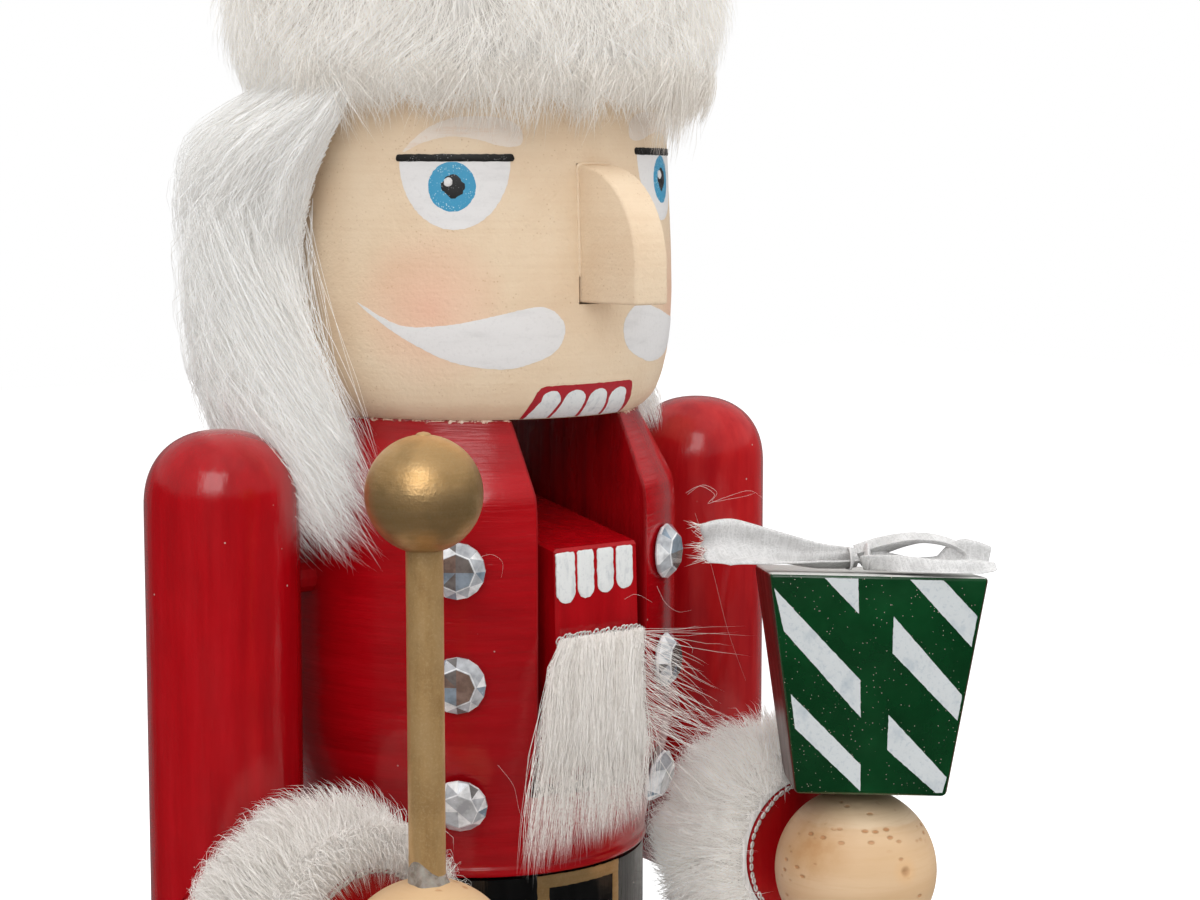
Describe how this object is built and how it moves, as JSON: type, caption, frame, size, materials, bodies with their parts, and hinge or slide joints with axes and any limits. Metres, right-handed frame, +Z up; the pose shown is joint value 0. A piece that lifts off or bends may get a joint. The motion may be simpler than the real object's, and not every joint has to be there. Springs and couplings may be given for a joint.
{
  "type": "nutcracker figure",
  "caption": "Standing Santa nutcracker with a lever jaw, fur hat, hair, beard and cuffs, a ball-topped sceptre in one hand and a tapered gift box on the other.",
  "frame": {"origin": "on the underside of the base, straight below the axis of the turned torso and head", "axes": "+Z up, the figure faces -Y, its own right hand is at -X"},
  "size_m": [0.1553, 0.162, 0.4995],
  "materials": {
    "red_lacquer": "turned wood with glossy red lacquer; belt, boots and buckle painted on",
    "black_gloss": "wood with glossy black paint",
    "green_gloss": "wood with glossy green paint, white stripes on the gift box",
    "skin_paint": "turned wood with satin skin-coloured paint and painted features",
    "gold_paint": "wood with metallic gold paint",
    "bare_wood": "bare pale wood with pores",
    "white_fur": "long-pile white imitation fur on a knitted backing",
    "white_ribbon": "sheer woven ribbon",
    "clear_gem": "faceted clear stone with a mirrored back",
    "steel": "zinc-plated wood screw"
  },
  "bodies": {
    "figure": {"base": "green_gloss", "base_screw_left": "steel", "base_screw_right": "steel", "boot_fur_left": "white_fur", "boot_fur_right": "white_fur", "cuff_left": "white_fur", "cuff_right": "white_fur", "elbow_dowel_left": "bare_wood", "elbow_dowel_right": "bare_wood", "forearm_left": "red_lacquer", "forearm_right": "red_lacquer", "gem_left_lower": "clear_gem", "gem_left_middle": "clear_gem", "gem_left_upper": "clear_gem", "gem_right_lower": "clear_gem", "gem_right_middle": "clear_gem", "gem_right_upper": "clear_gem", "gift_bow": "white_ribbon", "gift_box": "green_gloss", "gift_dowel": "bare_wood", "hair": "white_fur", "hand_left": "bare_wood", "hand_right": "bare_wood", "hat_crown": "red_lacquer", "hat_dowel": "bare_wood", "hat_fur_band": "white_fur", "hat_pompom": "white_fur", "head": "skin_paint", "hip_dowel_left": "bare_wood", "hip_dowel_right": "bare_wood", "hips": "red_lacquer", "jaw_pin": "bare_wood", "leg_left": "red_lacquer", "leg_right": "red_lacquer", "neck_dowel_left": "bare_wood", "neck_dowel_right": "bare_wood", "nose": "skin_paint", "sceptre_ball": "gold_paint", "sceptre_rod": "gold_paint", "shoe_left": "black_gloss", "shoe_right": "black_gloss", "shoulder_dowel_left": "red_lacquer", "shoulder_dowel_right": "red_lacquer", "torso": "red_lacquer", "upper_arm_left": "red_lacquer", "upper_arm_right": "red_lacquer", "waist_dowel": "bare_wood", "wrist_dowel_left": "bare_wood", "wrist_dowel_right": "bare_wood"},
    "jaw": {"jaw_lever": "red_lacquer", "beard": "white_fur"}
  },
  "joints": [
    {"name": "jaw_hinge", "type": "hinge", "parent": "figure", "child": "jaw", "pos_m": [0, 0.028, 0.32], "axis": [-1, 0, 0], "range_deg": [0, 20]}
  ]
}
